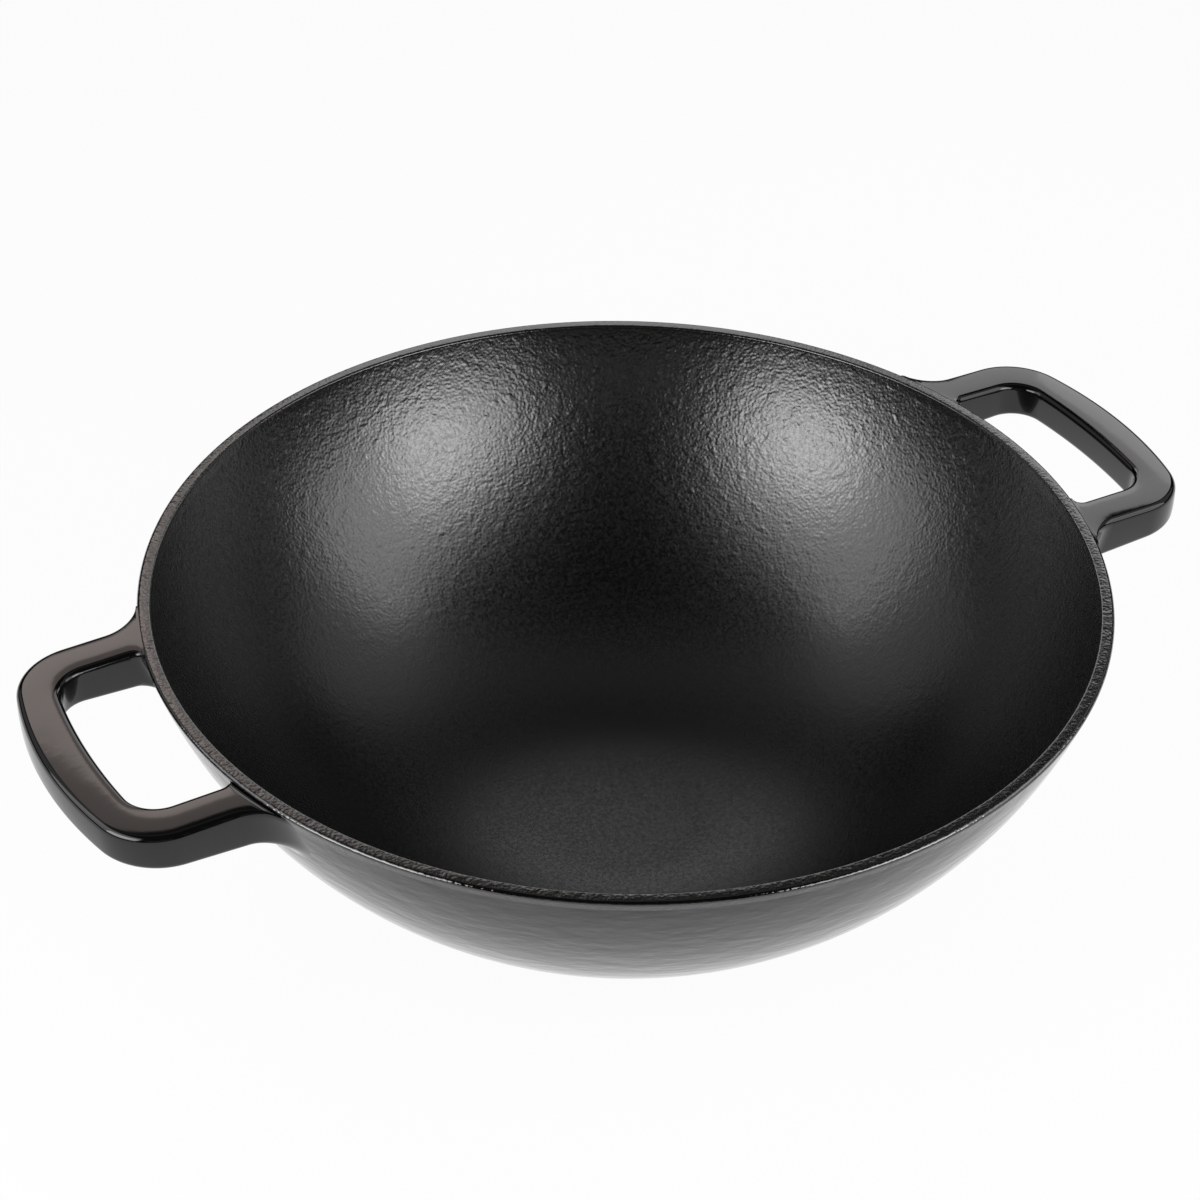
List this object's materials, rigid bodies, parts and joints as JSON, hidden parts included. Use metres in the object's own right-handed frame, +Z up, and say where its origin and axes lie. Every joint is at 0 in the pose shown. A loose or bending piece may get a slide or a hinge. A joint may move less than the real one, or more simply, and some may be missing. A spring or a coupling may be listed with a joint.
{
  "type": "cast iron wok",
  "caption": "Deep round cast iron wok with a curved wall, rounded rim, matte enamel inside, gloss enamel outside, flat standing pad and two wide loop handles.",
  "frame": {"origin": "middle of the standing face, on the surface that the wok stands on", "axes": "+Z up out of the bowl, +X towards the right handle; the handles lie along X"},
  "size_m": [0.47, 0.37, 0.127],
  "materials": {
    "gloss_enamel": "iron under gloss black vitreous enamel",
    "matte_enamel": "opaque matte black vitreous enamel, pebbled",
    "rim_enamel": "iron under satin dark grey enamel"
  },
  "bodies": {
    "root": {"bowl": "gloss_enamel", "inner_enamel": "matte_enamel", "rim_band": "rim_enamel", "standing_pad": "gloss_enamel", "left_handle": "gloss_enamel", "right_handle": "gloss_enamel"}
  },
  "joints": []
}
